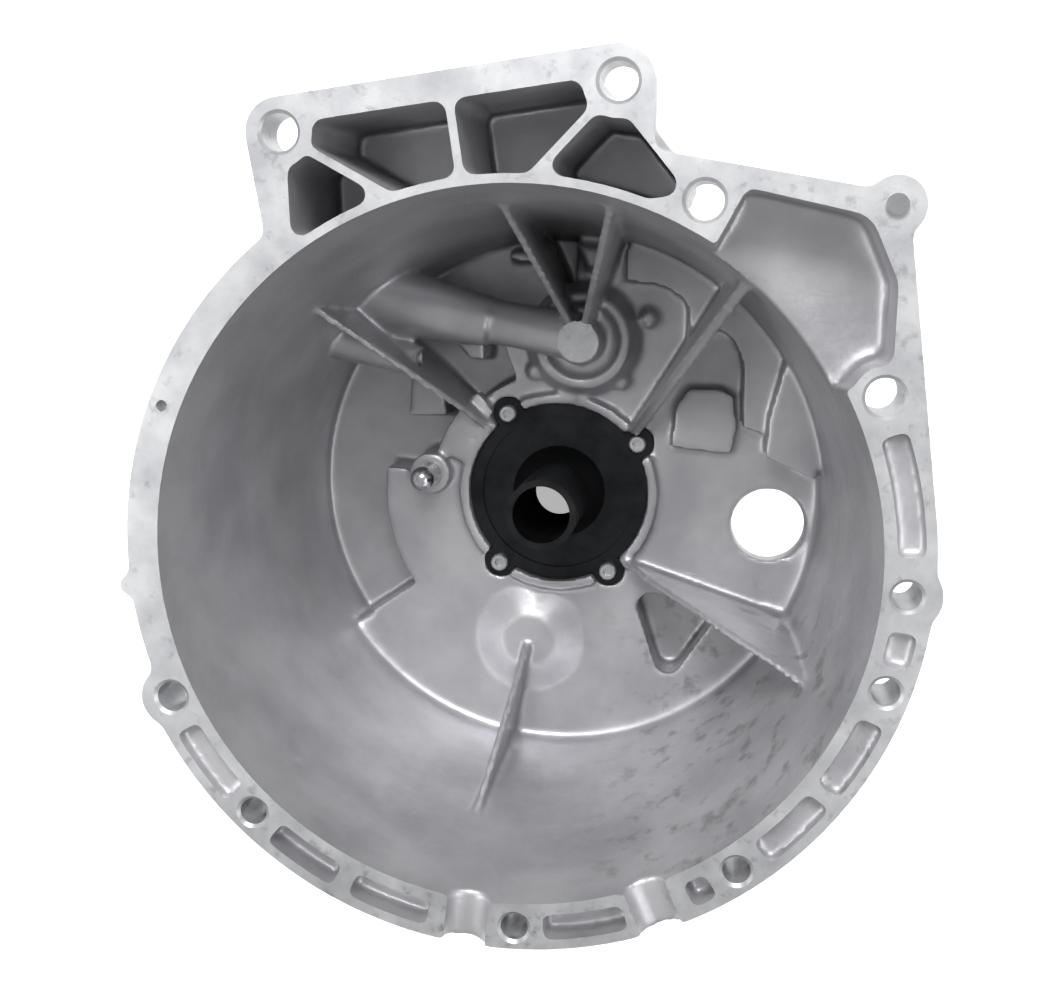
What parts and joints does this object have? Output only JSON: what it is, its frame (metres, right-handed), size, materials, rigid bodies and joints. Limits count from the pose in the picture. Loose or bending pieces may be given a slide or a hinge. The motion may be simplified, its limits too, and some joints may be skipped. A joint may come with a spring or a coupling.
{
  "type": "gearbox housing",
  "caption": "Cast aluminium gearbox housing: deep clutch bell with eared engine flange, inner ribs, guide sleeve and a narrow gear case with a rear joint flange.",
  "frame": {"origin": "on the input shaft axis, at the front shoulder of the input bearing's seat", "axes": "+Z along the input shaft towards the engine, +Y towards the upper ears of the engine flange, +X to the right seen from the engine"},
  "size_m": [0.3857, 0.422, 0.353],
  "materials": {
    "cast_aluminium": "die-cast, flange milled",
    "dark_steel": "phosphated and oiled",
    "screw_steel": "zinc plated",
    "bearing_steel": "ground",
    "seal_rubber": "moulded",
    "bronze": "turned",
    "soft_aluminium": "stamped",
    "black_plastic": "moulded"
  },
  "bodies": {
    "root": {"housing_casting": "cast_aluminium", "guide_sleeve": "dark_steel", "guide_sleeve_screws": "screw_steel", "input_shaft_seal": "seal_rubber", "guide_sleeve_o_ring": "seal_rubber", "layshaft_bearing_race": "bearing_steel", "selector_rail_bush": "bronze", "engine_dowel_pin": "bearing_steel", "fork_ball_stud": "bearing_steel", "slave_cylinder_studs": "screw_steel", "fill_plug": "screw_steel", "fill_plug_washer": "soft_aluminium", "drain_plug": "screw_steel", "drain_plug_washer": "soft_aluminium", "breather": "black_plastic"}
  },
  "joints": []
}
